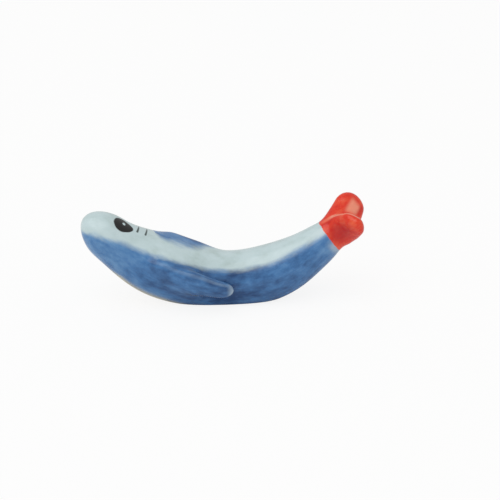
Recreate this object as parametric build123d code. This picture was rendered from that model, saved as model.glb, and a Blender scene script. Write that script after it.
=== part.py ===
"""A small glazed ceramic chopstick rest in the form of a fish that lies on its side, head and tail raised.

Millimetres, +Z up, head toward -X. The origin is on the flat foot, under the dip between head and tail.
The fish's belly edge is -Y and its back edge is +Y. The fins differ: the dorsal one is thicker and closer
to the top. So do the lobes of the tail: the upper one is longer, and the lower one leans the other way.
"""

import math
import os

from build123d import *

# Body: where each station of the spine stands, and the half sizes of the oval section there
snout_x = -32.8
snout_z = 21.4
brow_x = -25.0
brow_z = 15.9
brow_half_height = 5.8
brow_half_width = 5.8
shoulder_x = -14.6
shoulder_z = 9.3
shoulder_half_height = 7.8
shoulder_half_width = 7.8
saddle_x = 1.0
saddle_z = 4.9
saddle_half_height = 7.0
saddle_half_width = 7.0
rump_x = 14.6
rump_z = 6.9
rump_half_height = 6.8
rump_half_width = 6.8
stem_x = 27.1
stem_z = 15.2
stem_half_height = 4.3
stem_half_width = 4.3
head_rise = 21.0  # degrees, slope of the spine where it leaves the snout
tail_rise = 41.0  # degrees, slope of the spine where the lobes begin
foot_edge_radius = 0.5

# Fins: leaves that leave the cheek, lie along the edges of the body and end in free tips
fin_root_x = -18.5
fin_middle_x = -6.5
fin_tip_x = 3.2
pectoral_root_y = 6.2
pectoral_root_z = 13.1
pectoral_middle_y = 8.5
pectoral_middle_z = 8.3
pectoral_tip_y = 9.3
pectoral_tip_z = 5.9
pectoral_half_thickness = 1.9
dorsal_root_y = 5.2
dorsal_root_z = 14.4
dorsal_middle_y = 7.2
dorsal_middle_z = 9.3
dorsal_tip_y = 8.5
dorsal_tip_z = 6.2
dorsal_half_thickness = 2.6
fin_half_depth = 3.5
fin_end_half_depth = 2.2
fin_end_half_thickness = 1.3
fin_lean = 12.0  # degrees, how far the upper edge leans out from the body
fin_root_taper = 0.6  # share of the fin's length over which its root swells to full size
fin_tip_taper = 0.12  # share of the fin's length that rounds off its tip

# Tail lobe: one half of the forked tail, from the end of the stem to its rounded tip
lower_lobe_length = 9.3
upper_lobe_length = 10.4
lobe_spread = 7.0
lobe_lift = 1.4
lobe_waist_half_chord = 4.2
lower_lobe_half_chord = 3.25
upper_lobe_half_chord = 3.6
lobe_half_thickness = 1.9
lower_lobe_lean = -19.0  # degrees, how far the lobe's top edge leans out from the middle plane
upper_lobe_lean = 14.0  # degrees, likewise
lobe_waist_share = 0.35  # share of the lobe's length where its waist is
lobe_blade_share = 0.6  # share of the lobe's length where it has thinned to a blade
lobe_tip_taper = 0.26  # share of the lobe's length that rounds off its tip


def smooth(share, stations):
    """A value at a share of a length, on the smooth curve through (share, value) stations."""
    last = len(stations) - 1

    def slope(index):
        before = stations[max(index - 1, 0)]
        after = stations[min(index + 1, last)]
        return (after[1] - before[1]) / (after[0] - before[0])

    index = max(i for i in range(last) if i == 0 or share >= stations[i][0])
    (start, low), (stop, high) = stations[index], stations[index + 1]
    span = stop - start
    t = (share - start) / span
    rise = (3 - 2 * t) * t * t
    bend = slope(index) * (1 - t) ** 2 * t - slope(index + 1) * (1 - t) * t * t
    return low + (high - low) * rise + span * bend


def round_end(share, cap):
    """How full a piece is at a share of its length from a rounded tip whose rounding takes up cap."""
    return math.sqrt(1.0 - max(0.0, 1.0 - share / cap) ** 2)


def oval(line, share, half_width, half_height, lean=0.0):
    """An oval face across a line: half_width sideways, half_height upward, its top leaning toward +Y."""
    across = Plane(origin=line @ share, x_dir=(0, 1, 0), z_dir=line % share)
    size = (half_width, half_height)
    quarters = [EllipticalCenterArc((0, 0), *size, start, arc_size=90) for start in (0, 90, 180, 270)]
    return across * Rot(0, 0, -lean) * make_face(quarters)


def tail_axis():
    """Direction of the spine where the lobes begin."""
    tail = math.radians(tail_rise)
    return Vector(math.cos(tail), 0, math.sin(tail))


def body_blank():
    """The body before its foot is cut flat."""
    stations = [
        (brow_x, brow_z, brow_half_width, brow_half_height),
        (shoulder_x, shoulder_z, shoulder_half_width, shoulder_half_height),
        (saddle_x, saddle_z, saddle_half_width, saddle_half_height),
        (rump_x, rump_z, rump_half_width, rump_half_height),
        (stem_x, stem_z, stem_half_width, stem_half_height),
    ]
    head = math.radians(head_rise)
    line = Spline(
        (snout_x, 0, snout_z),
        *[(x, 0, z) for x, z, _, _ in stations],
        tangents=[(math.cos(head), 0, -math.sin(head)), tail_axis()],
    )
    shares = [line.param_at_point((x, 0, z)) for x, z, _, _ in stations]
    widths = [(share, station[2]) for share, station in zip(shares, stations)]
    heights = [(share, station[3]) for share, station in zip(shares, stations)]
    nose = shares[0]
    steps = 18
    sections = [Vertex(*(line @ 0))]
    for step in range(1, steps + 1):
        share = 1.0 - math.cos(math.pi / 2 * step / steps)
        full = round_end(share, nose)
        half_width = smooth(max(share, nose), widths) * full
        half_height = smooth(max(share, nose), heights) * full
        sections.append(oval(line, share, half_width, half_height))
    return loft(sections)


def fin_blank(root, middle, tip, full_half_thickness):
    """A fin on the +Y side as a whole leaf through three points, its root buried in the body."""
    line = Spline(root, middle, tip)
    share = line.param_at_point(middle)
    depths = [(0.0, fin_half_depth), (share, fin_half_depth), (1.0, fin_end_half_depth)]
    thicknesses = [(0.0, full_half_thickness), (share, full_half_thickness), (1.0, fin_end_half_thickness)]
    steps = 10
    sections = [Vertex(*(line @ 0))]
    for step in range(1, steps):
        share = 0.5 - 0.5 * math.cos(math.pi * step / steps)
        full = round_end(share, fin_root_taper) * round_end(1.0 - share, fin_tip_taper)
        half_thickness = smooth(share, thicknesses) * full
        half_depth = smooth(share, depths) * full
        sections.append(oval(line, share, half_thickness, half_depth, fin_lean))
    sections.append(Vertex(*(line @ 1)))
    return loft(sections)


def tail_lobe(length, end_half_chord, lean):
    """A lobe on the +Y side: a tongue that starts as one half of the end of the stem."""
    start = Vector(stem_x, 0, stem_z)
    along = tail_axis()
    lift = Vector(-along.Z, 0, along.X)
    tip = start + along * length + lift * lobe_lift + Vector(0, lobe_spread, 0)
    line = Spline(start, tip, tangents=[along, (tip - start).normalized()])
    chords = [(0.0, stem_half_height), (lobe_waist_share, lobe_waist_half_chord), (1.0, end_half_chord)]
    blade = lobe_blade_share
    thicknesses = [(0.0, stem_half_width), (blade, lobe_half_thickness), (1.0, lobe_half_thickness)]
    leans = [(0.0, 0.0), (blade, lean), (1.0, lean)]
    steps = 12
    sections = []
    for step in range(steps):
        share = math.sin(math.pi / 2 * step / steps)
        full = round_end(1.0 - share, lobe_tip_taper)
        half_thickness = smooth(share, thicknesses) * full
        half_chord = smooth(share, chords) * full
        sections.append(oval(line, share, half_thickness, half_chord, smooth(share, leans)))
    sections.append(Vertex(*tip))
    far_half = Pos(0, 100, 0) * Box(400, 200, 400)
    return loft(sections) & far_half


def pectoral_fin_blank():
    """The fin of the belly edge, before it is mirrored to its side."""
    root = (fin_root_x, pectoral_root_y, pectoral_root_z)
    middle = (fin_middle_x, pectoral_middle_y, pectoral_middle_z)
    tip = (fin_tip_x, pectoral_tip_y, pectoral_tip_z)
    return fin_blank(root, middle, tip, pectoral_half_thickness)


def dorsal_fin_blank():
    """The fin of the back edge, thicker than the other and closer to the top."""
    root = (fin_root_x, dorsal_root_y, dorsal_root_z)
    middle = (fin_middle_x, dorsal_middle_y, dorsal_middle_z)
    tip = (fin_tip_x, dorsal_tip_y, dorsal_tip_z)
    return fin_blank(root, middle, tip, dorsal_half_thickness)


def stand(blank):
    """The body cut flat where it stands, with the edge of its foot rounded off."""
    above_table = Pos(0, 0, 100) * Box(400, 400, 200)
    body = blank & above_table
    foot = body.faces().sort_by(Axis.Z)[0]
    return fillet(foot.edges(), foot_edge_radius)


def build():
    """All five pieces by name, each touching its neighbours face to face."""
    blank = body_blank()
    upper_lobe = tail_lobe(upper_lobe_length, upper_lobe_half_chord, upper_lobe_lean)
    lower_lobe = tail_lobe(lower_lobe_length, lower_lobe_half_chord, lower_lobe_lean)
    return {
        "body": stand(blank),
        "pectoral_fin": mirror(pectoral_fin_blank() - blank, Plane.XZ),
        "dorsal_fin": dorsal_fin_blank() - blank,
        "upper_tail_lobe": upper_lobe,
        "lower_tail_lobe": mirror(lower_lobe, Plane.XZ),
    }


os.makedirs("parts", exist_ok=True)
for name, piece in build().items():
    export_step(piece, f"parts/{name}.step")
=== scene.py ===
"""Looks of a small hand-painted chopstick rest: a glazed ceramic fish that lies on its side.

Metres, in the frame of the CAD model: head toward -X, +Z up, the flat foot on Z = 0. Places on the fish
itself are in millimetres along its spine and degrees round it, 0 on top and -90 toward its belly edge.
"""

import logging
import math
from dataclasses import dataclass, field
from enum import Enum
from typing import Any

import bmesh
import bpy
import numpy as np
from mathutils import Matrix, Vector
from mathutils.bvhtree import BVHTree


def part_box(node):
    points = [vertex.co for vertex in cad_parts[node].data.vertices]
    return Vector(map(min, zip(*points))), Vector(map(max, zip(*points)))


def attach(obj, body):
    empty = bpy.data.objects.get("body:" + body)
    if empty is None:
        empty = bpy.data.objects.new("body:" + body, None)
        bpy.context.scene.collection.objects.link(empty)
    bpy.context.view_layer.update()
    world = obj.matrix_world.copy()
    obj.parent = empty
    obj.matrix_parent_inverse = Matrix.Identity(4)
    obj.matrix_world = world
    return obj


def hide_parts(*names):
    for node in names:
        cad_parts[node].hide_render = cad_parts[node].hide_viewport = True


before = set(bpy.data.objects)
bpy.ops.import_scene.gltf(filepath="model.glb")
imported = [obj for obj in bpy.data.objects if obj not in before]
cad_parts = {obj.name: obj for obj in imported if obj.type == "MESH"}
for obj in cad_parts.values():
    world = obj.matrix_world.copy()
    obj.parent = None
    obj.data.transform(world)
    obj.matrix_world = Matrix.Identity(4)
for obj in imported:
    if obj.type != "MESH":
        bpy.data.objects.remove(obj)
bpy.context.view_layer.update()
LOG = logging.getLogger("chopstick_rest")
MM = 0.001
NOISE_MIDDLE = 0.5

# Where something begins and where it is full
Span = tuple[float, float]
# Where something begins, is full, is still full and ends
Stops = tuple[float, float, float, float]
# Places along a line, each with the value there
Stations = tuple[tuple[float, float], ...]


class Piece(Enum):
    """The pieces of the fish, by the names of their CAD nodes."""

    BODY = "body"
    PECTORAL_FIN = "pectoral_fin"
    DORSAL_FIN = "dorsal_fin"
    UPPER_LOBE = "upper_tail_lobe"
    LOWER_LOBE = "lower_tail_lobe"


class Clay(Enum):
    """Names of the attributes that shape the skin, and of the one that keeps its normals."""

    SLIP = "slip"
    PUSH = "push"
    NORMAL = "skin_normal"


class Mark(Enum):
    """Names of the attributes that the glaze reads.

    The first seven hold millimetres, the rim holds metres, and the last four hold shares.
    """

    UNBENT = "unbent"
    BLUE = "into_blue"
    RED = "into_red"
    BARE = "into_bare_clay"
    EYE = "into_eye"
    GLINT = "into_glint"
    GILL = "into_gill_stroke"
    RIM = "glaze_rim"
    # How dark the blue is: partly how thick it is, partly painted shade.
    COAT_AND_SHADE = "coat_and_shade_of_blue"
    # Paler blue: rubbed off in places, and painted highlights on the fins' tips and the pectoral fin's ridge.
    WORN_AND_LIT_BLUE = "worn_and_lit_blue"
    # Paler red: partly thin paint, partly painted light on the upper lobe and a painted highlight on the
    # lower lobe's crest.
    THIN_AND_LIT_RED = "thin_and_lit_red"
    # Darker red: partly thick paint, partly painted shade in the lower lobe's hollow.
    THICK_AND_SHADED_RED = "thick_and_shaded_red"


def linear(code: str) -> tuple[float, float, float, float]:
    """A colour as Blender's sockets take it.

    Args:
        code: sRGB colour as six hex digits.

    Returns:
        Linear red, green and blue, and full alpha.
    """
    parts = [int(code[i : i + 2], 16) / 255 for i in (0, 2, 4)]
    red, green, blue = (c / 12.92 if c <= 0.04045 else ((c + 0.055) / 1.055) ** 2.4 for c in parts)
    return red, green, blue, 1.0


def add(tree: bpy.types.NodeTree, kind: str, inputs: dict[Any, Any] | None = None, **settings: Any) -> Any:
    """Adds a node to a tree.

    Args:
        tree: the node tree.
        kind: the node's type name.
        inputs: value, or another node's output to link, for each input by its name or number.
        settings: the node's own properties.

    Returns:
        The new node.
    """
    node = tree.nodes.new(kind)
    for name, value in settings.items():
        setattr(node, name, value)
    for key, value in (inputs or {}).items():
        if isinstance(value, bpy.types.NodeSocket):
            tree.links.new(value, node.inputs[key])
        else:
            node.inputs[key].default_value = value
    return node


def ease(value: np.ndarray, none: float, full: float) -> np.ndarray:
    """A smooth step from 0 at none to 1 at full, whichever of the two is larger."""
    t = np.clip((value - none) / (full - none), 0.0, 1.0)
    return t * t * (3 - 2 * t)


def stretch(value: np.ndarray, stops: Stops) -> np.ndarray:
    """A share that rises from the first stop to the second, and falls from the third to the last."""
    return ease(value, stops[0], stops[1]) * ease(value, stops[3], stops[2])


def follow(place: np.ndarray, stations: Stations) -> np.ndarray:
    """The value at each place on the line through stations."""
    return np.interp(place, *zip(*stations))


def vertex_rows(mesh: bpy.types.Mesh, name: str) -> np.ndarray:
    """One property of all the vertices of a mesh.

    Args:
        mesh: the mesh.
        name: the property, "co" for places or "normal" for directions.

    Returns:
        One row of three for each vertex.
    """
    flat = np.zeros(len(mesh.vertices) * 3)
    mesh.vertices.foreach_get(name, flat)
    return flat.reshape(-1, 3)


def put_mark(mesh: bpy.types.Mesh, mark: Clay | Mark, values: np.ndarray) -> None:
    """Stores one float or one vector for each vertex of a mesh.

    Args:
        mesh: the mesh.
        mark: which attribute to store.
        values: one value or one row of three for each vertex.
    """
    kind, key = ("FLOAT_VECTOR", "vector") if values.ndim == 2 else ("FLOAT", "value")
    layer = mesh.attributes.get(mark.value) or mesh.attributes.new(mark.value, kind, "POINT")
    layer.data.foreach_set(key, np.ascontiguousarray(values, dtype=np.float32).ravel())


@dataclass(frozen=True)
class Places:
    """Where the vertices of a mesh are: in the frame, and on the fish as if it were straight.

    Past is counted along the spine from the end of the stem, and height is over the spine, square to it.
    """

    points: np.ndarray
    normals: np.ndarray
    along: np.ndarray
    past: np.ndarray
    side: np.ndarray
    height: np.ndarray

    @property
    def turn(self) -> np.ndarray:
        """How far round the spine each place is, in degrees from the top."""
        return np.degrees(np.arctan2(self.side, self.height))

    @property
    def girth(self) -> np.ndarray:
        """How far from the spine each place is."""
        return np.hypot(self.side, self.height)


@dataclass
class Spine:
    """Middle line of the fish in the plane Y = 0, from snout to stem and straight on past it.

    Each station is a share of the CAD body's length, from its front, and a share of its height.
    """

    stations: Stations = (
        (0.0043, 0.9049),  # snout
        (0.1281, 0.6723),  # brow
        (0.2932, 0.3932),  # shoulder
        (0.5409, 0.2072),  # saddle
        (0.7568, 0.2918),  # rump
        (0.9552, 0.6427),  # stem
    )
    head_rise: float = 21.0
    tail_rise: float = 41.0
    beyond: float = 14 * MM
    samples: int = 150
    batch: int = 8000

    def __post_init__(self) -> None:
        """Draws the smooth line through the stations, and on past the tail."""
        low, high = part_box(Piece.BODY.value)
        size = high - low
        stations = np.array([low.x, low.z]) + np.array(self.stations) * np.array([size.x, size.z])
        spans = np.linalg.norm(np.diff(stations, axis=0), axis=1)[:, None]
        slopes = np.diff(stations, axis=0) / spans
        head, tail = math.radians(self.head_rise), math.radians(self.tail_rise)
        inner = (slopes[1:] * spans[:-1] + slopes[:-1] * spans[1:]) / (spans[:-1] + spans[1:])
        ends = np.array([[math.cos(head), -math.sin(head)], [math.cos(tail), math.sin(tail)]])
        slopes = np.concatenate([ends[:1], inner, ends[1:]])
        t = np.linspace(0, 1, self.samples, endpoint=False)[:, None]
        parts = []
        for i, span in enumerate(spans):
            across = stations[i] + (stations[i + 1] - stations[i]) * (3 - 2 * t) * t * t
            bend = slopes[i] * (1 - t) ** 2 * t - slopes[i + 1] * (1 - t) * t * t
            parts.append(across + span * bend)
        on = np.linspace(0, self.beyond, self.samples)[:, None]
        self.line = np.concatenate([*parts, stations[-1] + on * ends[1]])
        steps = np.linalg.norm(np.diff(self.line, axis=0), axis=1)
        self.arc = np.concatenate([[0.0], np.cumsum(steps)])
        self.stem = self.arc[-self.samples]
        along = np.gradient(self.line, axis=0)
        self.along = along / np.linalg.norm(along, axis=1, keepdims=True)

    def straighten(self, points: np.ndarray) -> np.ndarray:
        """Unbends points, some at a time.

        Args:
            points: one row of X, Y and Z for each point.

        Returns:
            One row for each point: along the spine, sideways, and up from it.
        """
        result = np.zeros_like(points)
        for first in range(0, len(points), self.batch):
            part = points[first : first + self.batch]
            flat = part[:, [0, 2]]
            near = ((flat[:, None, :] - self.line[None]) ** 2).sum(2).argmin(1)
            offset = flat - self.line[near]
            along = self.along[near]
            ahead = (offset * along).sum(1)
            height = offset[:, 1] * along[:, 0] - offset[:, 0] * along[:, 1]
            result[first : first + self.batch] = np.stack([self.arc[near] + ahead, part[:, 1], height], 1)
        return result

    def places(self, mesh: bpy.types.Mesh) -> Places:
        """Finds where the vertices of a mesh are on the fish.

        Args:
            mesh: a mesh of the whole fish.

        Returns:
            The places of its vertices.
        """
        points, normals = vertex_rows(mesh, "co"), vertex_rows(mesh, "normal")
        along, side, height = self.straighten(points).T / MM
        return Places(points, normals, along, along - self.stem / MM, side, height)


@dataclass
class Fingers:
    """How fingers pushed the soft clay, in millimetres and degrees."""

    thumb_depth: float = 0.4
    thumb_past: float = 3.6
    thumb_half_length: float = 2.4
    thumb_half_height: float = 2.4
    thumb_facing: Span = (0.0, 0.5)
    swell_height: float = 1.0
    swell_along: Stops = (17.0, 24.0, 30.0, 40.0)
    swell_turn: float = 27.0
    swell_half_turn: float = 15.0
    fin_girth: Span = (8.2, 10.0)
    pectoral_sag: float = 0.75
    pectoral_along: Stops = (18.0, 25.0, 38.0, 46.0)
    pectoral_turn: Span = (-92.0, -64.0)
    dorsal_sag: float = 0.8
    dorsal_along: Stops = (19.0, 25.0, 36.0, 44.0)
    dorsal_turn: Span = (85.0, 55.0)
    lower_lobe_side: Span = (0.8, -0.8)
    lobe_sag: float = 0.55
    lobe_sag_past: Span = (0.5, 3.5)
    lobe_sag_height: Span = (0.0, 3.0)
    lobe_reach: float = 0.35
    lobe_reach_past: Span = (3.0, 8.0)
    lobe_belly: float = 0.4
    lobe_belly_past: Stops = (1.0, 3.0, 5.0, 7.5)
    lobe_belly_height: Span = (-0.5, -3.0)

    def moves(self, skin: bpy.types.Mesh, spine: Spine) -> np.ndarray:
        """Works out how the pushes move the clay.

        Args:
            skin: the skin of the whole fish.
            spine: the middle line of the fish.

        Returns:
            A move in metres for each vertex: a swelling at the root of the dorsal fin, sagging upper edges,
            longer lobes, a fuller lower edge of the lower lobe, and a thumb's print outside each lobe.
        """
        at = spine.places(skin)
        out, tail = math.radians(self.swell_turn), math.radians(spine.tail_rise)
        pushes = (
            (self.swell(at), (0.0, math.sin(out), math.cos(out))),
            (self.fin_sags(at) + self.lower_lobe_sag(at), (0.0, 0.0, -1.0)),
            (self.lobe_reach * ease(at.past, *self.lobe_reach_past), (1.0, 0.0, 0.0)),
            (self.lower_lobe_belly(at), (math.sin(tail), 0.0, -math.cos(tail))),
        )
        moves = sum(np.outer(push, way) for push, way in pushes)
        return (moves - at.normals * self.thumbs(at)[:, None]) * MM

    def swell(self, at: Places) -> np.ndarray:
        """How far the clay swells at the root of the dorsal fin."""
        aside = (at.turn - self.swell_turn) / self.swell_half_turn
        return self.swell_height * stretch(at.along, self.swell_along) * np.exp(-(aside**2))

    def fin_sags(self, at: Places) -> np.ndarray:
        """Finds how far the upper edges of the fins sag.

        Args:
            at: the places.

        Returns:
            A length for each place.
        """
        pectoral = ease(at.turn, *self.pectoral_turn) * (at.turn < 0) * stretch(at.along, self.pectoral_along)
        dorsal = ease(at.turn, *self.dorsal_turn) * (at.turn > 0) * stretch(at.along, self.dorsal_along)
        return ease(at.girth, *self.fin_girth) * (self.pectoral_sag * pectoral + self.dorsal_sag * dorsal)

    def lower_lobe_sag(self, at: Places) -> np.ndarray:
        """How far the upper edge of the lower lobe sags."""
        upper_edge = ease(at.past, *self.lobe_sag_past) * ease(at.height, *self.lobe_sag_height)
        return self.lobe_sag * ease(at.side, *self.lower_lobe_side) * upper_edge

    def lower_lobe_belly(self, at: Places) -> np.ndarray:
        """How much fuller the lower edge of the lower lobe is."""
        lower_edge = stretch(at.past, self.lobe_belly_past) * ease(at.height, *self.lobe_belly_height)
        return self.lobe_belly * ease(at.side, *self.lower_lobe_side) * lower_edge

    def thumbs(self, at: Places) -> np.ndarray:
        """Finds how deep a thumb's print is.

        Args:
            at: the places.

        Returns:
            A depth for each place.
        """
        outer = ease(at.normals[:, 1] * np.sign(at.side), *self.thumb_facing)
        ahead = (at.past - self.thumb_past) / self.thumb_half_length
        higher = at.height / self.thumb_half_height
        return self.thumb_depth * outer * np.exp(-(ahead**2) - higher**2)


@dataclass
class SlipSkin:
    """One skin over all the pieces, as slip and glaze leave it: joints filled, edges softened, clay dented.

    It starts from the CAD solids. Slip fills what is within reach of a fin, over spans that are shares of the
    pectoral fin's length, from its front.
    """

    fingers: Fingers = field(default_factory=Fingers)
    merge: float = 1e-7
    voxel: float = 0.2 * MM
    smoothing: int = 14
    fillet_steps: int = 12
    fillet_passes: int = 100
    rim_steps: int = 30
    dent_size: float = 9 * MM
    dent_depth: float = 0.11 * MM
    dent_detail: float = 1.0
    crisp: float = 0.08
    pectoral_reach: Span = (4.5 * MM, 2.7 * MM)
    dorsal_reach: Span = (8.0 * MM, 4.8 * MM)
    below_fin: Span = (-0.5 * MM, 2.0 * MM)
    below_length: Span = (0.95, 0.7)
    front_length: Span = (0.7, 0.2)
    dorsal_length: Span = (1.0, 0.75)
    trees: dict[Piece, BVHTree] = field(default_factory=dict)

    def solids(self) -> bpy.types.Object:
        """Copies the CAD solids, and makes a search tree of each.

        Returns:
            One object with all the solids in it, each closed.
        """
        points: list[Vector] = []
        faces: list[list[int]] = []
        for piece in Piece:
            shape = bmesh.new()
            shape.from_mesh(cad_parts[piece.value].data)
            bmesh.ops.remove_doubles(shape, verts=shape.verts, dist=self.merge)
            self.trees[piece] = BVHTree.FromBMesh(shape)
            start = len(points)
            shape.verts.index_update()
            points.extend(vertex.co.copy() for vertex in shape.verts)
            faces.extend([start + vertex.index for vertex in face.verts] for face in shape.faces)
            shape.free()
        mesh = bpy.data.meshes.new("fish_solids")
        mesh.from_pydata(points, [], faces)
        thing = bpy.data.objects.new("fish_solids", mesh)
        bpy.context.scene.collection.objects.link(thing)
        return thing

    def distances(self, points: np.ndarray) -> np.ndarray:
        """Measures how far points are from each CAD solid's surface.

        Args:
            points: one row for each point.

        Returns:
            One row for each point, and one column for each piece.
        """
        trees = [self.trees[piece] for piece in Piece]
        return np.array([[tree.find_nearest(point)[3] for tree in trees] for point in map(Vector, points)])

    def fill_weight(self, points: np.ndarray, away: np.ndarray) -> np.ndarray:
        """Finds how freely slip fills each place: fully round the dorsal fin and under the pectoral one.

        Args:
            points: one row for each point.
            away: distances from the solids.

        Returns:
            A weight from 0 to 1 for each point.
        """
        order = list(Piece)
        low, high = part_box(Piece.PECTORAL_FIN.value)
        share = (points[:, 0] - low.x) / (high.x - low.x)
        middle = high.z + (low.z - high.z) * share
        below = ease(middle - points[:, 2], *self.below_fin) * ease(share, *self.below_length)
        front = ease(share, *self.front_length)
        near_pectoral = ease(away[:, order.index(Piece.PECTORAL_FIN)], *self.pectoral_reach)
        near_dorsal = ease(away[:, order.index(Piece.DORSAL_FIN)], *self.dorsal_reach)
        pectoral = near_pectoral * np.maximum(below, front)
        dorsal = near_dorsal * ease(share, *self.dorsal_length)
        return np.maximum(np.maximum(pectoral, dorsal), self.crisp)

    def tree(self) -> bpy.types.GeometryNodeTree:
        """Builds the node tree of the skin.

        Returns:
            A tree that softens, fills and dents the skin, and marks how far its rims stand out.
        """
        tree = bpy.data.node_groups.new("slip_skin", "GeometryNodeTree")
        sockets = tree.interface
        sockets.new_socket("Skin", in_out="INPUT", socket_type="NodeSocketGeometry")
        for name in ("Smoothing", "Fillet Steps", "Fillet Passes", "Rim Steps"):
            sockets.new_socket(name, in_out="INPUT", socket_type="NodeSocketInt")
        for name in ("Dent Size", "Dent Depth"):
            sockets.new_socket(name, in_out="INPUT", socket_type="NodeSocketFloat")
        sockets.new_socket("Glaze", in_out="INPUT", socket_type="NodeSocketMaterial")
        sockets.new_socket("Skin", in_out="OUTPUT", socket_type="NodeSocketGeometry")
        given = add(tree, "NodeGroupInput").outputs
        place = add(tree, "GeometryNodeInputPosition").outputs[0]
        normal = add(tree, "GeometryNodeInputNormal").outputs[0]
        skin = self.pushed(tree, given, place)
        skin = self.filled(tree, skin, given, place, normal)
        skin = self.dented(tree, skin, given, place, normal)

        around = {"Value": place, "Iterations": given["Rim Steps"]}
        around = add(tree, "GeometryNodeBlurAttribute", around, data_type="FLOAT_VECTOR").outputs[0]
        rim = {"Geometry": skin, "Name": Mark.RIM.value, "Value": self.outside(tree, place, around, normal)}
        skin = add(tree, "GeometryNodeStoreNamedAttribute", rim, data_type="FLOAT").outputs[0]
        skin = add(tree, "GeometryNodeSetShadeSmooth", {"Geometry": skin}).outputs[0]
        skin = add(tree, "GeometryNodeRealizeInstances", {"Geometry": skin}).outputs[0]
        glazed = {"Geometry": skin, "Material": given["Glaze"]}
        skin = add(tree, "GeometryNodeSetMaterial", glazed).outputs[0]
        add(tree, "NodeGroupOutput", {0: skin})
        return tree

    @staticmethod
    def pushed(tree: bpy.types.NodeTree, given: Any, place: Any) -> Any:
        """Softens the skin, then pushes it as fingers did.

        Args:
            tree: the node tree.
            given: the tree's inputs.
            place: where each vertex is.

        Returns:
            The pushed skin.
        """
        vector = {"data_type": "FLOAT_VECTOR"}
        soft = {"Value": place, "Iterations": given["Smoothing"]}
        soft = add(tree, "GeometryNodeBlurAttribute", soft, **vector).outputs[0]
        push = add(tree, "GeometryNodeInputNamedAttribute", {"Name": Clay.PUSH.value}, **vector).outputs[0]
        skin = add(tree, "GeometryNodeSetPosition", {"Geometry": given["Skin"], "Position": soft}).outputs[0]
        return add(tree, "GeometryNodeSetPosition", {"Geometry": skin, "Offset": push}).outputs[0]

    def filled(self, tree: bpy.types.NodeTree, skin: Any, given: Any, place: Any, normal: Any) -> Any:
        """Fills the hollows of the skin with slip, pass by pass and only outward, and lets the slip settle.

        Args:
            tree: the node tree.
            skin: the skin.
            given: the tree's inputs.
            place: where each vertex is.
            normal: which way it faces.

        Returns:
            The filled skin.
        """
        slip = {"Name": Clay.SLIP.value}
        slip = add(tree, "GeometryNodeInputNamedAttribute", slip, data_type="FLOAT").outputs[0]
        vector = {"data_type": "FLOAT_VECTOR"}
        level = {"Value": place, "Iterations": given["Fillet Steps"], "Weight": slip}
        level = add(tree, "GeometryNodeBlurAttribute", level, **vector).outputs[0]
        gap = self.outside(tree, level, place, normal)
        fill = add(tree, "ShaderNodeMath", {0: gap, 1: 0.0}, operation="MAXIMUM").outputs[0]
        lift = add(tree, "ShaderNodeVectorMath", {0: normal, "Scale": fill}, operation="SCALE").outputs[0]
        first = add(tree, "GeometryNodeRepeatInput")
        last = add(tree, "GeometryNodeRepeatOutput")
        first.pair_with_output(last)
        tree.links.new(given["Fillet Passes"], first.inputs["Iterations"])
        tree.links.new(skin, first.inputs["Geometry"])
        lifted = {"Geometry": first.outputs["Geometry"], "Offset": lift}
        lifted = add(tree, "GeometryNodeSetPosition", lifted).outputs[0]
        tree.links.new(lifted, last.inputs["Geometry"])
        settled = {"Value": place, "Iterations": given["Smoothing"], "Weight": slip}
        settled = add(tree, "GeometryNodeBlurAttribute", settled, **vector).outputs[0]
        moved = {"Geometry": last.outputs[0], "Position": settled}
        return add(tree, "GeometryNodeSetPosition", moved).outputs[0]

    def dented(self, tree: bpy.types.NodeTree, skin: Any, given: Any, place: Any, normal: Any) -> Any:
        """Dents the skin a little, as clay shaped by hand is.

        Args:
            tree: the node tree.
            skin: the skin.
            given: the tree's inputs.
            place: where each vertex is.
            normal: which way it faces.

        Returns:
            The dented skin.
        """
        scale = add(tree, "ShaderNodeMath", {0: 1.0, 1: given["Dent Size"]}, operation="DIVIDE").outputs[0]
        noise = {"Vector": place, "Scale": scale, "Detail": self.dent_detail}
        noise = add(tree, "ShaderNodeTexNoise", noise).outputs[0]
        swing = add(tree, "ShaderNodeMath", {0: noise, 1: NOISE_MIDDLE}, operation="SUBTRACT").outputs[0]
        depth = {0: swing, 1: given["Dent Depth"]}
        depth = add(tree, "ShaderNodeMath", depth, operation="MULTIPLY").outputs[0]
        dent = add(tree, "ShaderNodeVectorMath", {0: normal, "Scale": depth}, operation="SCALE").outputs[0]
        return add(tree, "GeometryNodeSetPosition", {"Geometry": skin, "Offset": dent}).outputs[0]

    @staticmethod
    def outside(tree: bpy.types.NodeTree, one: Any, other: Any, normal: Any) -> Any:
        """How far one place is outside another, along the normal."""
        gap = add(tree, "ShaderNodeVectorMath", {0: one, 1: other}, operation="SUBTRACT").outputs[0]
        return add(tree, "ShaderNodeVectorMath", {0: gap, 1: normal}, operation="DOT_PRODUCT").outputs[1]

    def build(self, glaze: bpy.types.Material, spine: Spine) -> tuple[bpy.types.Mesh, np.ndarray]:
        """Makes the whole skin.

        Args:
            glaze: the material of the skin.
            spine: the middle line of the fish.

        Returns:
            The skin's mesh, and for each vertex the number of the CAD solid that it is nearest to.
        """
        thing = self.solids()
        remesh = thing.modifiers.new("skin", "REMESH")
        remesh.mode = "VOXEL"
        remesh.voxel_size = self.voxel
        thing.data = self.evaluated(thing)
        thing.modifiers.clear()
        points = vertex_rows(thing.data, "co")
        away = self.distances(points)
        put_mark(thing.data, Clay.SLIP, self.fill_weight(points, away))
        put_mark(thing.data, Clay.PUSH, self.fingers.moves(thing.data, spine))

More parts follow.
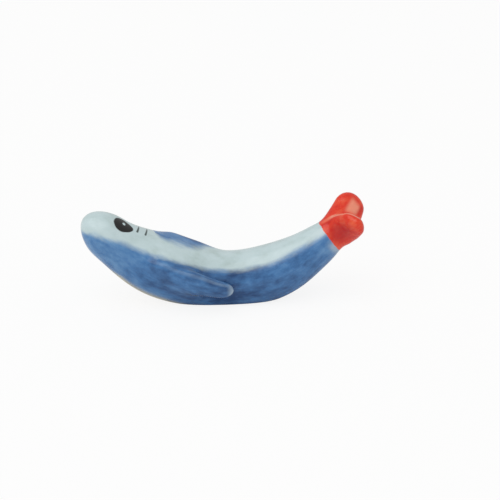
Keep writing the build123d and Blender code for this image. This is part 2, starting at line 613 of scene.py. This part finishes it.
        tree = self.tree()
        sizes = {
            "Smoothing": self.smoothing,
            "Fillet Steps": self.fillet_steps,
            "Fillet Passes": self.fillet_passes,
            "Rim Steps": self.rim_steps,
            "Dent Size": self.dent_size,
            "Dent Depth": self.dent_depth,
            "Glaze": glaze,
        }
        nodes = thing.modifiers.new("slip_skin", "NODES")
        nodes.node_group = tree
        for socket in tree.interface.items_tree:
            if socket.in_out == "INPUT" and socket.name in sizes:
                nodes[socket.identifier] = sizes[socket.name]
        skin = self.evaluated(thing)
        bpy.data.objects.remove(thing)
        return skin, away.argmin(1)

    @staticmethod
    def evaluated(thing: bpy.types.Object) -> bpy.types.Mesh:
        """An object's mesh with its modifiers applied."""
        graph = bpy.context.evaluated_depsgraph_get()
        return bpy.data.meshes.new_from_object(thing.evaluated_get(graph), depsgraph=graph)


@dataclass
class BlueCoat:
    """The blue of the belly, the back and the fins.

    Its border on the snout is a height over the spine at places along it. On the belly, the nape and the
    back it is a turn from the top, toward that side.
    """

    snout: Stations = ((0.0, -2.3), (1.2, -1.5), (2.7, -0.35), (4.9, 0.75), (7.0, 1.6))
    snout_end: Span = (2.7, 7.0)
    belly: Stations = (
        (0.8, 143.0), (2.7, 100.0), (4.7, 84.5), (7.0, 74.0), (9.4, 65.0), (12.3, 61.0), (15.0, 59.5),
        (20.0, 55.0), (25.0, 51.5), (38.0, 49.5), (59.0, 46.0), (64.7, 50.7), (67.2, 56.0),
    )
    nape: Stations = ((0.8, 143.0), (4.7, 85.0), (9.4, 67.0), (12.5, 58.0), (15.0, 46.0), (16.2, 28.0))
    back: Stations = (
        (16.9, -2.0), (18.5, -12.0), (19.8, -13.5), (21.5, -12.0), (24.5, -9.5), (27.7, -7.0), (31.0, 0.0),
        (35.0, 27.0), (38.0, 52.0), (67.2, 56.0),
    )
    back_soft: Span = (19.0, 24.0)
    back_softness: float = 0.6
    # How dark the blue is along the fish: partly how thick it is, partly painted shade.
    thickness_and_shade: Stations = (
        (3.0, -1.0), (8.0, -0.5), (14.0, -0.05), (26.0, 0.5), (40.0, 1.0), (56.0, 0.3), (65.0, -0.2),
    )
    # Painted shade is weaker near the top, so the blue is paler there.
    top_turn: float = -10.0
    top_half_turn: Span = (20.0, 42.0)
    top_share: float = 0.2
    tip_length: Span = (2.2 * MM, 0.2 * MM)
    # Paler fin tips: partly rubbed off, partly a painted highlight.
    pectoral_tip_wear_and_highlight: float = 1.0
    dorsal_tip_wear_and_highlight: float = 0.5
    # A painted highlight along the pectoral fin's ridge, where it faces up.
    ridge_highlight: float = 0.15
    ridge_front: Span = (17.0, 23.0)
    ridge_rear: Span = (26.0, 34.0)
    ridge_facing: Stops = (0.35, 0.55, 0.7, 0.9)
    ring_wear: float = 0.9
    ring_past: Span = (-1.8, -0.3)
    ring_turn: Span = (70.0, 110.0)

    def depth(self, at: Places) -> np.ndarray:
        """Finds how far each place is inside the blue, which fades out behind its crisp front on the back.

        Args:
            at: the places.

        Returns:
            A depth for each place, below zero outside the blue.
        """
        belly = np.radians(-at.turn - follow(at.along, self.belly)) * at.girth
        back = np.radians(at.turn - follow(at.along, self.nape + self.back)) * at.girth
        fade = 1.0 - self.back_softness * ease(at.along, *self.back_soft)
        snout = follow(at.along, self.snout) - at.height
        behind = ease(at.along, *self.snout_end)
        return snout + (np.maximum(belly, back * fade) - snout) * behind

    def coat_and_shade(self, at: Places) -> np.ndarray:
        """Finds how dark the blue is, partly from how thick it is and partly as painted shade: darkest low
        behind the fins, paler at both ends and over the top.

        Args:
            at: the places.

        Returns:
            A share from -1 to 1 for each place.
        """
        low_down = ease(np.abs(at.turn - self.top_turn), *self.top_half_turn)
        return follow(at.along, self.thickness_and_shade) * (self.top_share + (1.0 - self.top_share) * low_down)

    def wear_and_highlight(self, at: Places, owners: np.ndarray) -> np.ndarray:
        """Finds where the blue is paler: rubbed off low on the tail, a painted highlight on the pectoral
        fin's ridge where it faces up, and at the fins' tips partly rubbed off and partly a painted highlight.

        Args:
            at: the places.
            owners: the number of the piece that each place is on.

        Returns:
            A share from 0 to 1 for each place.
        """
        pectoral = self.tip_wear_and_highlight(at, owners, Piece.PECTORAL_FIN, self.pectoral_tip_wear_and_highlight)
        dorsal = self.tip_wear_and_highlight(at, owners, Piece.DORSAL_FIN, self.dorsal_tip_wear_and_highlight)
        on_pectoral = owners == list(Piece).index(Piece.PECTORAL_FIN)
        most = self.ridge_highlight * (ease(at.along, *self.ridge_front) + ease(at.along, *self.ridge_rear))
        ridge = most * on_pectoral * stretch(at.normals[:, 2], self.ridge_facing)
        ring = self.ring_wear * ease(at.past, *self.ring_past) * ease(np.abs(at.turn), *self.ring_turn)
        return np.max([pectoral, dorsal, ridge, ring], axis=0)

    def tip_wear_and_highlight(self, at: Places, owners: np.ndarray, fin: Piece, most: float) -> np.ndarray:
        """How pale the blue is near the free tip of a fin, partly rubbed off and partly a painted highlight.
        """
        before_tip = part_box(fin.value)[1].x - at.points[:, 0]
        return most * (owners == list(Piece).index(fin)) * ease(before_tip, *self.tip_length)


@dataclass
class RedTail:
    """The red of the tail lobes. The ring where it starts is a distance past the stem at each turn."""

    ring: Stations = (
        (-180.0, 0.0), (-143.0, 0.0), (-107.0, 0.37), (-68.0, 0.48),
        (-42.0, 0.65), (-10.0, 0.5), (40.0, 0.2), (180.0, 0.0),
    )
    # Paler red low on the upper lobe's inner face: partly thin paint, partly painted light.
    inner_side: Span = (0.5, 2.0)
    inner_past: Stops = (3.5, 6.0, 9.4, 10.6)
    inner_height: Stops = (-1.4, -0.2, 1.3, 2.5)
    # Painted highlight on the lower lobe's crest, where it faces up.
    crest_lean: float = 19.0
    crest_side: Span = (0.3, -0.8)
    crest_past: Span = (0.6, 2.0)
    crest_breadth: float = 0.4
    crest_root_breadth: float = 0.75
    crest_root: Span = (6.0, 2.0)
    crest_edge: Span = (0.0, 0.6)
    crest_facing: Span = (0.1, 0.5)
    # Painted shade, with thick red, in the hollow of the lower lobe.
    hollow_past: float = 3.2
    hollow_height: float = 0.4
    hollow_half_length: float = 3.0
    hollow_half_height: float = 2.8
    hollow_side: Span = (-0.5, -2.5)
    hollow_reach: Span = (1.3, 0.4)

    def depth(self, at: Places) -> np.ndarray:
        """How far each place is inside the red."""
        return at.past - follow(at.turn, self.ring)

    def thin(self, at: Places, tail_rise: float) -> np.ndarray:
        """Finds where the red is paler: low on the upper lobe's inner face, partly thin paint and partly
        painted light, and on the lower lobe's crest where it faces up, partly thin glaze and partly a painted
        highlight.

        Args:
            at: the places.
            tail_rise: how steeply the tail rises, in degrees.

        Returns:
            A share from 0 to 1 for each place.
        """
        inner_face = ease(at.side, *self.inner_side) * stretch(at.past, self.inner_past)
        inner_face = inner_face * stretch(at.height, self.inner_height)
        tail, lean = math.radians(tail_rise), math.radians(self.crest_lean)
        upward = at.normals[:, 2] * math.cos(tail) - at.normals[:, 0] * math.sin(tail)
        sideways = np.abs(upward * math.sin(lean) - at.normals[:, 1] * math.cos(lean))
        widening = self.crest_root_breadth - self.crest_breadth
        breadth = self.crest_breadth + widening * ease(at.past, *self.crest_root)
        on_edge = ease(1.0 - sideways / breadth, *self.crest_edge) * ease(upward, *self.crest_facing)
        crest = ease(at.side, *self.crest_side) * ease(at.past, *self.crest_past) * on_edge
        return np.maximum(inner_face, crest)

    def thick(self, at: Places) -> np.ndarray:
        """Finds where the red is darker: in the hollow of the lower lobe, partly thick paint and partly
        painted shade.

        Args:
            at: the places.

        Returns:
            A share from 0 to 1 for each place.
        """
        ahead = (at.past - self.hollow_past) / self.hollow_half_length
        higher = (at.height - self.hollow_height) / self.hollow_half_height
        return ease(at.side, *self.hollow_side) * ease(np.hypot(ahead, higher), *self.hollow_reach)


@dataclass
class BareClay:
    """The patch without glaze under the fish. Its border is a turn from the top, on both sides."""

    border: Stations = (
        (8.0, 200.0), (10.0, 172.0), (12.0, 156.0), (15.0, 143.0), (25.0, 140.0), (34.0, 149.0),
        (44.0, 151.0), (50.0, 163.0), (54.0, 200.0),
    )

    def depth(self, at: Places) -> np.ndarray:
        """Finds how far each place is inside the bare clay.

        Args:
            at: the places.

        Returns:
            A depth for each place, below zero outside the patch.
        """
        (front, _), (rear, _) = self.border[0], self.border[-1]
        round_it = np.radians(np.abs(at.turn) - follow(at.along, self.border)) * at.girth
        return np.min([round_it, at.along - front, rear - at.along], axis=0)


@dataclass
class Eye:
    """A painted eye: where it is along and round the fish, its half sizes, and the glint left open in it."""

    along: float = 8.3
    turn: float = -19.0
    half_length: float = 2.87
    half_width: float = 2.12
    taper: float = 0.22
    glint_across: float = 0.44
    glint_half_length: float = 0.5
    glint_half_width: float = 0.42

    def depths(self, at: Places) -> tuple[np.ndarray, np.ndarray]:
        """Finds how far each place is inside the eye, and inside the glint.

        Args:
            at: the places.

        Returns:
            Two depths for each place, below zero outside.
        """
        ahead = at.along - self.along
        across = np.radians(at.turn - self.turn) * at.girth
        half_width = self.half_width * (1.0 - self.taper * np.clip(ahead / self.half_length, -1.0, 1.0))
        eye = (1.0 - np.hypot(ahead / self.half_length, across / half_width)) * self.half_width
        beside = (across - self.glint_across) / self.glint_half_width
        glint = (1.0 - np.hypot(ahead / self.glint_half_length, beside)) * self.glint_half_width
        return eye, glint


@dataclass
class GillStroke:
    """A dab of the brush behind the eye: its two ends along and round the fish, and its half widths."""

    along: float
    lean: float = 0.33
    start_turn: float = 9.0
    end_turn: float = -19.0
    start_half_width: float = 0.12
    end_half_width: float = 0.27

    def depth(self, at: Places) -> np.ndarray:
        """Finds how far each place is inside the stroke.

        Args:
            at: the places.

        Returns:
            A depth for each place, below zero outside the stroke.
        """
        sweep = self.end_turn - self.start_turn
        share = (at.turn - self.start_turn) / sweep
        clamped = np.clip(share, 0.0, 1.0)
        middle = self.along + self.lean * (0.5 - clamped)
        beyond = np.radians((share - clamped) * sweep) * at.girth
        half_width = self.start_half_width + (self.end_half_width - self.start_half_width) * clamped
        return half_width - np.hypot(at.along - middle, beyond)


@dataclass
class Painting:
    """All that the painter put on the fish, and the patch left bare."""

    spine: Spine
    blue: BlueCoat = field(default_factory=BlueCoat)
    red: RedTail = field(default_factory=RedTail)
    bare: BareClay = field(default_factory=BareClay)
    eye: Eye = field(default_factory=Eye)
    strokes: tuple[GillStroke, ...] = (GillStroke(12.4), GillStroke(14.5))

    def mark(self, skin: bpy.types.Mesh, owners: np.ndarray) -> None:
        """Stores all of the painter's marks on the skin.

        Args:
            skin: the mesh of the whole fish.
            owners: for each vertex, the number of the piece that it is on.
        """
        at = self.spine.places(skin)
        eye, glint = self.eye.depths(at)
        marks = {
            Mark.UNBENT: np.stack([at.along, at.side, at.height], 1),
            Mark.BLUE: self.blue.depth(at),
            Mark.COAT_AND_SHADE: self.blue.coat_and_shade(at),
            Mark.WORN_AND_LIT_BLUE: self.blue.wear_and_highlight(at, owners),
            Mark.RED: self.red.depth(at),
            Mark.THIN_AND_LIT_RED: self.red.thin(at, self.spine.tail_rise),
            Mark.THICK_AND_SHADED_RED: self.red.thick(at),
            Mark.BARE: self.bare.depth(at),
            Mark.EYE: eye,
            Mark.GLINT: glint,
            Mark.GILL: np.max([stroke.depth(at) for stroke in self.strokes], axis=0),
        }
        for mark, values in marks.items():
            put_mark(skin, mark, values)


@dataclass(frozen=True)
class Pigment:
    """A painted colour: from thick and dark to thin and pale, as sRGB hex."""

    thick: str
    full: str
    light: str
    thin: str


@dataclass(frozen=True)
class Edge:
    """The edge of a painted colour: how far it frays, and half the width over which it fades."""

    ragged: float
    soft: float


@dataclass(frozen=True)
class Glaze:
    """Clear glaze over brushed underglaze colours on white stoneware, fired to a soft gloss.

    The colour lies in brushed washes under the glaze, so it varies in streaks. Glaze runs off sharp rims,
    where it looks pale. Hollows are darker, partly from pooled glaze and partly from painted shade. Painted
    shade also darkens the blue low on the sides and toward the rear, and the lower lobe's hollow. Painted
    highlights, with rubbed-off blue and thin red, lighten the fins' tips, the pectoral fin's ridge, the upper
    lobe's inner face and the lower lobe's crest. Its surface waves a little, which softens reflections. The
    sizes of grain are in millimetres along the fish, across it and up, and edges are in millimetres too.
    """

    celadon: Pigment = Pigment("B4C7C6", "C2D5D7", "CADCDF", "D3E0E2")
    cobalt: Pigment = Pigment("1A4476", "4377AD", "6B99C6", "A9BDCD")
    iron_red: Pigment = Pigment("BD0600", "E43012", "F0683F", "FFB695")
    black: str = "0F0E0D"
    grey: str = "45514F"
    clay: str = "CFC8B2"
    blue_edge: Edge = Edge(0.9, 1.0)
    red_edge: Edge = Edge(0.5, 0.12)
    eye_edge: Edge = Edge(0.25, 0.12)
    glint_edge: Edge = Edge(0.1, 0.14)
    gill_edge: Edge = Edge(0.12, 0.12)
    bare_edge: Edge = Edge(1.0, 1.6)
    wash_size: tuple[float, float, float] = (5.44, 3.4, 3.4)
    wash_detail: float = 4.0
    streak_size: tuple[float, float, float] = (5.0, 1.5, 1.5)
    streak_detail: float = 3.0
    streak_share: float = 0.35
    wave_size: tuple[float, float, float] = (1.6, 1.6, 1.6)
    wave_detail: float = 2.0
    wave_strength: float = 0.12
    wave_height: float = 0.1 * MM
    grain_roughness: float = 0.6
    tone_stops: tuple[float, float, float] = (0.28, 0.49, 0.7)
    rim_height: Span = (0.13 * MM, 0.28 * MM)
    # Darker hollows: partly pooled glaze, partly painted shade.
    pool_and_shade_height: Span = (-0.012 * MM, -0.08 * MM)
    # How much the blue darkens where it is thick and where shade is painted.
    coat_and_shade_darkening: float = 0.15
    # How patchy the rubbed-off blue and its painted highlights are.
    wear_and_highlight_contrast: float = 1.5
    # How much darker the red is where it is thick and where shade is painted.
    thick_and_shaded_red_share: float = 0.8
    # How much paler the red is where it is thin and where light is painted.
    thin_and_lit_red_share: float = 0.6
    ior: float = 1.5
    roughness: float = 0.2
    clay_roughness: float = 0.75

    def material(self) -> bpy.types.Material:
        """Builds the material.

        Returns:
            The material, which reads the painter's marks from the mesh.
        """
        made = bpy.data.materials.new("hand_painted_glazed_stoneware")
        made.use_nodes = True
        tree = made.node_tree
        tree.nodes.clear()
        read = {mark: add(tree, "ShaderNodeAttribute", attribute_name=mark.value).outputs for mark in Mark}
        marks = {mark: outputs["Fac"] for mark, outputs in read.items()}
        unbent = read[Mark.UNBENT]["Vector"]
        wash = self.grain(tree, unbent, self.wash_size, self.wash_detail)
        streak = self.grain(tree, unbent, self.streak_size, self.streak_detail)
        wave = self.grain(tree, unbent, self.wave_size, self.wave_detail)
        bare = self.cover(tree, marks[Mark.BARE], wash, self.bare_edge)
        colour = self.colour(tree, marks, wash, streak, bare)

        finish = {"Value": bare, "To Min": self.roughness, "To Max": self.clay_roughness}
        finish = add(tree, "ShaderNodeMapRange", finish).outputs[0]
        bump = {"Height": wave, "Strength": self.wave_strength, "Distance": self.wave_height}
        bump = add(tree, "ShaderNodeBump", bump).outputs[0]
        surface = {"Base Color": colour, "Roughness": finish, "Normal": bump, "IOR": self.ior}
        shader = add(tree, "ShaderNodeBsdfPrincipled", surface).outputs[0]
        add(tree, "ShaderNodeOutputMaterial", {"Surface": shader})
        return made

    def colour(
        self, tree: bpy.types.NodeTree, marks: dict[Mark, Any], wash: Any, streak: Any, bare: Any
    ) -> Any:
        """Lays all the colours over each other, the pale one first.

        Args:
            tree: the node tree.
            marks: the painter's marks.
            wash: the noise of the washes.
            streak: the noise of the brush's streaks.
            bare: how much of the clay is bare.

        Returns:
            The colour that is seen.
        """
        tone = {0: self.streak_share, 2: wash, 3: streak}
        tone = add(tree, "ShaderNodeMix", tone, data_type="FLOAT").outputs[0]
        # Pale where glaze runs off rims; dark in hollows, partly pooled glaze and partly painted shade.
        rim, pool_and_shade = (
            add(
                tree,
                "ShaderNodeMapRange",
                {"Value": marks[Mark.RIM], "From Min": none, "From Max": full},
                interpolation_type="SMOOTHSTEP",
            ).outputs[0]
            for none, full in (self.rim_height, self.pool_and_shade_height)
        )
        pale = self.brushed(tree, self.celadon, wash, pool_and_shade, rim)
        blue = self.blue(tree, marks, tone, wash, pool_and_shade, rim)
        red = self.red(tree, marks, tone, pool_and_shade)
        eye = self.cover(tree, marks[Mark.EYE], wash, self.eye_edge)
        glint = self.cover(tree, marks[Mark.GLINT], wash, self.glint_edge)
        eye = add(tree, "ShaderNodeMath", {0: eye, 1: glint}, operation="SUBTRACT", use_clamp=True).outputs[0]
        layers = (
            (blue, self.cover(tree, marks[Mark.BLUE], streak, self.blue_edge)),
            (red, self.cover(tree, marks[Mark.RED], wash, self.red_edge)),
            (linear(self.black), eye),
            (linear(self.grey), self.cover(tree, marks[Mark.GILL], wash, self.gill_edge)),
            (linear(self.clay), bare),
        )
        return self.layered(tree, pale, layers)

    def blue(
        self, tree: bpy.types.NodeTree, marks: dict[Mark, Any], tone: Any, wash: Any, pool_and_shade: Any, rim: Any
    ) -> Any:
        """The blue, darker where it is thick and where shade is painted, and pale on rims, in rubbed clouds
        and at painted highlights.

        Args:
            tree: the node tree.
            marks: the painter's marks.
            tone: the noise of the brush.
            wash: the noise of the clouds.
            pool_and_shade: how much glaze pools in hollows, with painted shade there.
            rim: how much glaze has run off.

        Returns:
            A colour.
        """
        # Darker where the blue is thick and where shade is painted.
        laid = {0: marks[Mark.COAT_AND_SHADE], 1: -self.coat_and_shade_darkening, 2: tone}
        laid = add(tree, "ShaderNodeMath", laid, operation="MULTIPLY_ADD").outputs[0]
        cloud = add(tree, "ShaderNodeMath", {0: wash, 1: self.wear_and_highlight_contrast}, operation="MULTIPLY").outputs[0]
        # Pale where the blue is rubbed off and where highlights are painted.
        worn_and_lit = {0: marks[Mark.WORN_AND_LIT_BLUE], 1: cloud}
        worn_and_lit = add(tree, "ShaderNodeMath", worn_and_lit, operation="MULTIPLY").outputs[0]
        thin = add(tree, "ShaderNodeMath", {0: rim, 1: worn_and_lit}, operation="MAXIMUM").outputs[0]
        return self.brushed(tree, self.cobalt, laid, pool_and_shade, thin)

    def red(self, tree: bpy.types.NodeTree, marks: dict[Mark, Any], tone: Any, pool_and_shade: Any) -> Any:
        """The red, darker where it is thick and where shade is painted, paler where it is thin and where
        light is painted.

        Args:
            tree: the node tree.
            marks: the painter's marks.
            tone: the noise of the brush.
            pool_and_shade: how much glaze pools in hollows, with painted shade there.

        Returns:
            A colour.
        """
        # Darker where the red is thick, where glaze pools and where shade is painted.
        thick = {0: marks[Mark.THICK_AND_SHADED_RED], 1: self.thick_and_shaded_red_share}
        thick = add(tree, "ShaderNodeMath", thick, operation="MULTIPLY").outputs[0]
        thick = add(tree, "ShaderNodeMath", {0: pool_and_shade, 1: thick}, operation="MAXIMUM").outputs[0]
        # Paler where the red is thin and where light is painted.
        thin = {0: marks[Mark.THIN_AND_LIT_RED], 1: self.thin_and_lit_red_share}
        thin = add(tree, "ShaderNodeMath", thin, operation="MULTIPLY").outputs[0]
        return self.brushed(tree, self.iron_red, tone, thick, thin)

    def brushed(self, tree: bpy.types.NodeTree, pigment: Pigment, tone: Any, thick: Any, thin: Any) -> Any:
        """A pigment as the brush lays it.

        Args:
            tree: the node tree.
            pigment: the pigment.
            tone: how the brush's load varies.
            thick: how much of it is at its darkest, from thick paint, pooled glaze and painted shade.
            thin: how much of it is at its palest, from thin paint, thin glaze on rims and painted highlights.

        Returns:
            A colour.
        """
        ramp = add(tree, "ShaderNodeValToRGB", {0: tone})
        elements = ramp.color_ramp.elements
        elements.new(self.tone_stops[1])
        codes = (pigment.thick, pigment.full, pigment.light)
        for element, stop, code in zip(elements, self.tone_stops, codes):
            element.position = stop
            element.color = linear(code)
        layers = ((linear(pigment.thick), thick), (linear(pigment.thin), thin))
        return self.layered(tree, ramp.outputs[0], layers)

    @staticmethod
    def layered(tree: bpy.types.NodeTree, colour: Any, layers: tuple[tuple[Any, Any], ...]) -> Any:
        """Lays colours over a colour.

        Args:
            tree: the node tree.
            colour: the lowest colour.
            layers: each colour over it, from the lowest up, and how much of it covers what is below.

        Returns:
            The colour that is seen.
        """
        for top, share in layers:
            mix = {0: share, 6: colour, 7: top}
            colour = add(tree, "ShaderNodeMix", mix, data_type="RGBA").outputs[2]
        return colour

    def grain(
        self, tree: bpy.types.NodeTree, unbent: Any, size: tuple[float, float, float], detail: float
    ) -> Any:
        """Noise that follows the bent fish.

        Args:
            tree: the node tree.
            unbent: the places on the straightened fish.
            size: the size of its grain.
            detail: how many finer layers it has.

        Returns:
            The noise, from 0 to 1.
        """
        place = add(tree, "ShaderNodeVectorMath", {0: unbent, 1: size}, operation="DIVIDE").outputs[0]
        noise = {"Vector": place, "Scale": 1.0, "Detail": detail, "Roughness": self.grain_roughness}
        return add(tree, "ShaderNodeTexNoise", noise).outputs[0]

    @staticmethod
    def cover(tree: bpy.types.NodeTree, depth: Any, grain: Any, edge: Edge) -> Any:
        """Works out how much of a painted colour covers each place.

        Args:
            tree: the node tree.
            depth: how far the place is inside the colour.
            grain: noise that frays the edge.
            edge: how the edge looks.

        Returns:
            A share from 0 to 1.
        """
        swing = add(tree, "ShaderNodeMath", {0: grain, 1: NOISE_MIDDLE}, operation="SUBTRACT").outputs[0]
        frayed = {0: swing, 1: edge.ragged * 2, 2: depth}
        frayed = add(tree, "ShaderNodeMath", frayed, operation="MULTIPLY_ADD").outputs[0]
        share = {"Value": frayed, "From Min": -edge.soft, "From Max": edge.soft}
        return add(tree, "ShaderNodeMapRange", share, interpolation_type="SMOOTHSTEP").outputs[0]


@dataclass
class Fish:
    """The whole rest, painted and parted into its pieces."""

    skin: SlipSkin = field(default_factory=SlipSkin)
    glaze: Glaze = field(default_factory=Glaze)
    wall_depth: float = 0.4 * MM

    def build(self) -> list[bpy.types.Object]:
        """Makes every piece and puts it in the frame.

        Returns:
            The pieces.
        """
        spine = Spine()
        mesh, owners = self.skin.build(self.glaze.material(), spine)
        Painting(spine).mark(mesh, owners)
        pieces = self.part(mesh, owners)
        for piece, thing in pieces.items():
            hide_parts(piece.value)
            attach(thing, "root")
        return list(pieces.values())

    def part(self, mesh: bpy.types.Mesh, owners: np.ndarray) -> dict[Piece, bpy.types.Object]:
        """Parts the skin where the CAD solids meet, and closes each part inside.

        Args:
            mesh: the skin of the whole fish.
            owners: for each vertex, the number of the piece that it is on.

        Returns:
            One object for each piece.
        """
        put_mark(mesh, Clay.NORMAL, vertex_rows(mesh, "normal"))
        result = {}
        for index, piece in enumerate(Piece):
            shape = bmesh.new()
            shape.from_mesh(mesh)
            shape.normal_update()
            others = [face for face in shape.faces if self.face_owner(face, owners) != index]
            bmesh.ops.delete(shape, geom=others, context="FACES")
            self.close(shape)
            made = bpy.data.meshes.new(f"glazed_{piece.value}")
            shape.to_mesh(made)
            shape.free()
            normals = made.attributes[Clay.NORMAL.value]
            made.normals_split_custom_set_from_vertices([data.vector for data in normals.data])
            made.attributes.remove(made.attributes[Clay.NORMAL.value])
            made.materials.append(mesh.materials[0])
            thing = bpy.data.objects.new(f"glazed_{piece.value}", made)
            bpy.context.scene.collection.objects.link(thing)
            result[piece] = thing
        return result

    def close(self, shape: bmesh.types.BMesh) -> None:
        """Closes a part with a wall that goes in from the edge of its skin, and a cap at the wall's end.

        Args:
            shape: the part.
        """
        rim = [edge for edge in shape.edges if edge.is_boundary]
        inward = {vertex.co.copy().freeze(): -vertex.normal for edge in rim for vertex in edge.verts}
        wall = bmesh.ops.extrude_edge_only(shape, edges=rim)["geom"]
        for vertex in (part for part in wall if isinstance(part, bmesh.types.BMVert)):
            vertex.co += inward[vertex.co.copy().freeze()] * self.wall_depth
        edges = [part for part in wall if isinstance(part, bmesh.types.BMEdge) and part.is_boundary]
        caps = bmesh.ops.holes_fill(shape, edges=edges, sides=0)["faces"]
        bmesh.ops.triangulate(shape, faces=caps)

    @staticmethod
    def face_owner(face: bmesh.types.BMFace, owners: np.ndarray) -> int:
        """The number of the piece that most of a face's corners are on."""
        return int(np.bincount([owners[vertex.index] for vertex in face.verts]).argmax())


@dataclass
class Studio:
    """A white table, soft light from all round and above, and a camera in front of the fish and over it."""

    image_size: int = 500
    pixels_per_metre: float = 4100.0
    azimuth: float = -4.0
    elevation: float = 25.0
    distance: float = 0.45
    centre: Vector = field(default_factory=lambda: Vector((0.0, 0.0, 10 * MM)))
    centre_pixel: tuple[float, float] = (218.0, 259.5)
    sensor_width: float = 36.0
    nearest_seen: float = 10 * MM
    floor_size: float = 6.0
    floor_colour: str = "F6F6F5"
    floor_plain_share: float = 0.87
    white: str = "FFFFFF"
    sky_strength: float = 0.62
    key_power: float = 7.3
    key_size: float = 1.4
    key_place: Vector = field(default_factory=lambda: Vector((-0.45, -0.4, 1.1)))

    def build(self) -> None:
        """Makes the floor, the light and the camera."""
        self.floor()
        self.sky()
        self.key()
        self.camera()
        bpy.context.scene.view_settings.view_transform = "Standard"

    def floor(self) -> None:
        """A table top of matt card. To the camera it is mostly plain white, so that shadows are faint."""
        half = self.floor_size / 2
        mesh = bpy.data.meshes.new("table_top")
        corners = [(-half, -half, 0), (half, -half, 0), (half, half, 0), (-half, half, 0)]
        mesh.from_pydata(corners, [], [(0, 1, 2, 3)])
        thing = bpy.data.objects.new("table_top", mesh)
        bpy.context.scene.collection.objects.link(thing)
        card = bpy.data.materials.new("matt_white_card")
        card.use_nodes = True
        tree = card.node_tree
        tree.nodes.clear()
        matt = add(tree, "ShaderNodeBsdfDiffuse", {"Color": linear(self.floor_colour)}).outputs[0]
        plain = add(tree, "ShaderNodeEmission", {"Color": linear(self.white), "Strength": 1.0}).outputs[0]
        seen = add(tree, "ShaderNodeLightPath").outputs["Is Camera Ray"]
        share = {0: seen, 1: self.floor_plain_share}
        share = add(tree, "ShaderNodeMath", share, operation="MULTIPLY").outputs[0]
        mixed = add(tree, "ShaderNodeMixShader", {0: share, 1: matt, 2: plain}).outputs[0]
        add(tree, "ShaderNodeOutputMaterial", {"Surface": mixed})
        mesh.materials.append(card)

    def sky(self) -> None:
        """Even white light from all round, plain white where the camera sees it."""
        world = bpy.data.worlds.new("white_tent")
        world.use_nodes = True
        tree = world.node_tree
        tree.nodes.clear()
        seen = add(tree, "ShaderNodeLightPath").outputs["Is Camera Ray"]
        strength = {"Value": seen, "To Min": self.sky_strength, "To Max": 1.0}
        strength = add(tree, "ShaderNodeMapRange", strength).outputs[0]
        light = {"Color": linear(self.white), "Strength": strength}
        light = add(tree, "ShaderNodeBackground", light).outputs[0]
        add(tree, "ShaderNodeOutputWorld", {"Surface": light})
        bpy.context.scene.world = world

    def key(self) -> None:
        """A large soft lamp above and to the left."""
        lamp = bpy.data.lights.new("soft_box", "AREA")
        lamp.size = self.key_size
        lamp.energy = self.key_power
        thing = bpy.data.objects.new("soft_box", lamp)
        thing.location = self.key_place
        thing.rotation_euler = (self.centre - self.key_place).to_track_quat("-Z", "Y").to_euler()
        bpy.context.scene.collection.objects.link(thing)

    def camera(self) -> None:
        """A camera that puts the middle of the fish at its pixel of the image."""
        turn, rise = math.radians(self.azimuth), math.radians(self.elevation)
        right = Vector((math.cos(turn), math.sin(turn), 0.0))
        back = Vector((math.sin(turn) * math.cos(rise), -math.cos(turn) * math.cos(rise), math.sin(rise)))
        above = back.cross(right)
        half = self.image_size / 2
        aside = (half - self.centre_pixel[0]) / self.pixels_per_metre
        higher = (self.centre_pixel[1] - half) / self.pixels_per_metre
        place = self.centre + back * self.distance
        aim = self.centre + right * aside + above * higher
        lens = bpy.data.cameras.new("camera")
        lens.sensor_width = self.sensor_width
        lens.lens = self.sensor_width * self.distance * self.pixels_per_metre / self.image_size
        lens.clip_start = self.nearest_seen
        thing = bpy.data.objects.new("camera", lens)
        thing.location = place
        thing.rotation_euler = (aim - place).to_track_quat("-Z", "Y").to_euler()
        bpy.context.scene.collection.objects.link(thing)
        bpy.context.scene.camera = thing


def main() -> None:
    """Builds the fish and its studio."""
    logging.basicConfig(level=logging.INFO)
    for thing in Fish().build():
        LOG.info("%s: %d faces", thing.name, len(thing.data.polygons))
    Studio().build()


if __name__ == "__main__":
    main()
